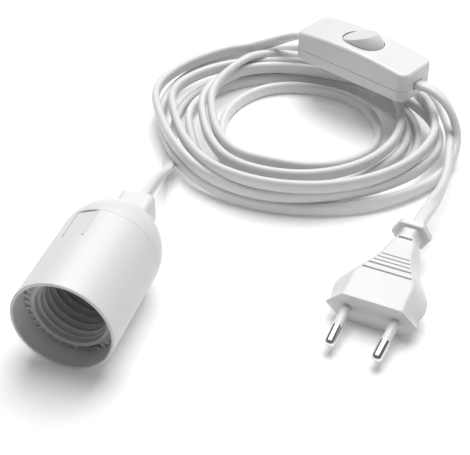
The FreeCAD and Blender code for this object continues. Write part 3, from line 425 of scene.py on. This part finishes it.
class LAMPSET_OT_holder(bpy.types.Operator):
    """Finish the lamp holder's skirt, cap, insert, contacts and terminals"""

    bl_idname = "lampset.holder"
    bl_label = "Lamp holder"

    def execute(self, context):
        settings = context.scene.lamp_holder
        dress(moulded("White holder shell", settings.shell_colour, 0.42), "holder_skirt", "holder_cap")
        # The insert and contact base take the darker grey as painted shade inside the mouth.
        dress(moulded("Insert darkened as painted shade", settings.inner_painted_shade_colour, 0.42), "thread_insert", "contact_base")
        dress(moulded("White grip", settings.inner_painted_shade_colour, 0.5), "cord_grip")
        brass = metal("Contact brass", (0.72, 0.55, 0.27), 0.24, (1.0, 12.0, 1.0))
        dress(brass, "centre_contact", "side_contact", "contact_rivets")
        dress(brass, "terminal_live", "terminal_neutral")
        dress(metal("Zinc screws", (0.62, 0.63, 0.65), 0.3, (1.0, 1.0, 14.0)), "terminal_screws")
        dress(moulded("Brown core", (0.12, 0.055, 0.03), 0.4), "core_brown")
        dress(moulded("Blue core", (0.02, 0.08, 0.33), 0.4), "core_blue")
        return {"FINISHED"}


class LAMPSET_OT_switch(bpy.types.Operator):
    """Finish the inline switch, its rocker and the metal inside it"""

    bl_idname = "lampset.switch"
    bl_label = "Inline switch"

    def execute(self, context):
        settings = context.scene.lamp_holder
        dress(moulded("White switch shell", settings.shell_colour, 0.3), "switch_base", "switch_cover")
        dress(moulded("White rocker", settings.shell_colour, 0.2, 0.000004), "rocker")
        dress(moulded("White clamps", settings.inner_painted_shade_colour, 0.5), "cord_clamp_left", "cord_clamp_right")
        copper = metal("Switch copper", (0.72, 0.42, 0.26), 0.26, (12.0, 1.0, 1.0))
        dress(copper, "rocker_bridge", "live_contact_in", "live_contact_out", "neutral_link")
        steel = metal("Switch steel", (0.6, 0.61, 0.62), 0.28, (1.0, 14.0, 1.0))
        dress(steel, "rocker_pin", "detent_spring")
        dress(steel, "switch_terminal_screws", "clamp_screws", "cover_screws")
        return {"FINISHED"}


class LAMPSET_OT_plug(bpy.types.Operator):
    """Finish the plug, its pins and their sleeves"""

    bl_idname = "lampset.plug"
    bl_label = "Plug"

    def execute(self, context):
        settings = context.scene.lamp_holder
        dress(moulded("White plug", settings.shell_colour, 0.38, 0.00002), "plug_body")
        nickel = metal("Nickel pins", settings.nickel_colour, 0.1, (1.0, 20.0, 1.0))
        dress(nickel, "plug_pin_left", "plug_pin_right")
        dress(moulded("White sleeves", settings.shell_colour, 0.35), "pin_sleeve_left", "pin_sleeve_right")
        return {"FINISHED"}


# Table, light and camera

TABLE_HALF = 4.0
TABLE_DROP = 0.0001
LIGHT_PLACE = (0.02, 0.5, 1.1)
LIGHT_TARGET = (0.03, 0.06, 0.0)
LIGHT_SIZE = 1.1
CAMERA_PLACE = (0.14097, -0.28654, 0.28445)
CAMERA_TARGET = (0.03203, 0.05713, 0.0)
LENS_LENGTH = 87.45
SENSOR_WIDTH = 36.0


def aim(item, place, target):
    item.location = place
    item.rotation_euler = (Vector(target) - Vector(place)).to_track_quat("-Z", "Y").to_euler()


def large_light(name, place, target, size, power):
    lamp = bpy.data.lights.new(name, "AREA")
    lamp.shape = "SQUARE"
    lamp.size = size
    lamp.energy = power
    item = bpy.data.objects.new(name, lamp)
    bpy.context.scene.collection.objects.link(item)
    aim(item, place, target)


class LAMPSET_OT_stage(bpy.types.Operator):
    """Set the pale table, the large soft light and the camera"""

    bl_idname = "lampset.stage"
    bl_label = "Table, light and camera"

    def execute(self, context):
        scene = context.scene
        settings = scene.lamp_holder
        mesh = bpy.data.meshes.new("table")
        half = TABLE_HALF
        corners = [(-half, -half, 0), (half, -half, 0), (half, half, 0), (-half, half, 0)]
        mesh.from_pydata(corners, [], [(0, 1, 2, 3)])
        table = bpy.data.objects.new("table", mesh)
        scene.collection.objects.link(table)
        table.location.z = -TABLE_DROP
        top = Finish("Pale table")
        cloud = top.noise(3.0, 2.0)
        mesh.materials.append(top.wear(
            Base_Color=top.between(cloud, shade(settings.floor_colour, 0.995), settings.floor_colour),
            Roughness=0.75 + cloud * 0.1,
            Specular_IOR_Level=0.2,
            Emission_Color=(1.0, 1.0, 1.0, 1.0),
            Emission_Strength=settings.floor_glow,
        ))
        large_light("main_light", LIGHT_PLACE, LIGHT_TARGET, LIGHT_SIZE, settings.lamp_power)
        world = scene.world or bpy.data.worlds.new("room")
        scene.world = world
        world.use_nodes = True
        backdrop = world.node_tree.nodes["Background"]
        backdrop.inputs["Color"].default_value = (1.0, 1.0, 1.0, 1.0)
        backdrop.inputs["Strength"].default_value = settings.sky_strength
        scene.view_settings.view_transform = "Standard"
        lens = bpy.data.cameras.new("photo_camera")
        lens.lens = LENS_LENGTH
        lens.sensor_width = SENSOR_WIDTH
        lens.clip_end = 20.0
        camera = bpy.data.objects.new("photo_camera", lens)
        scene.collection.objects.link(camera)
        aim(camera, CAMERA_PLACE, CAMERA_TARGET)
        scene.camera = camera
        return {"FINISHED"}


class LAMPSET_PT_panel(bpy.types.Panel):
    """Sizes, colours and pieces of the lamp holder set"""

    bl_idname = "LAMPSET_PT_panel"
    bl_label = "Lamp holder"
    bl_space_type = "VIEW_3D"
    bl_region_type = "UI"
    bl_category = "Lamp holder"

    def draw(self, context):
        settings = context.scene.lamp_holder
        for name in LampHolderSettings.__annotations__:
            self.layout.prop(settings, name)
        for operator in OPERATORS:
            self.layout.operator(operator.bl_idname)


OPERATORS = (LAMPSET_OT_leads, LAMPSET_OT_holder, LAMPSET_OT_switch, LAMPSET_OT_plug, LAMPSET_OT_stage)
CLASSES = (LampHolderSettings, *OPERATORS, LAMPSET_PT_panel)


def register():
    for item in CLASSES:
        bpy.utils.register_class(item)
    bpy.types.Scene.lamp_holder = PointerProperty(type=LampHolderSettings)


def unregister():
    del bpy.types.Scene.lamp_holder
    for item in reversed(CLASSES):
        bpy.utils.unregister_class(item)


def main():
    register()
    bpy.ops.lampset.leads()
    bpy.ops.lampset.holder()
    bpy.ops.lampset.switch()
    bpy.ops.lampset.plug()
    bpy.ops.lampset.stage()


if __name__ == "__main__":
    main()
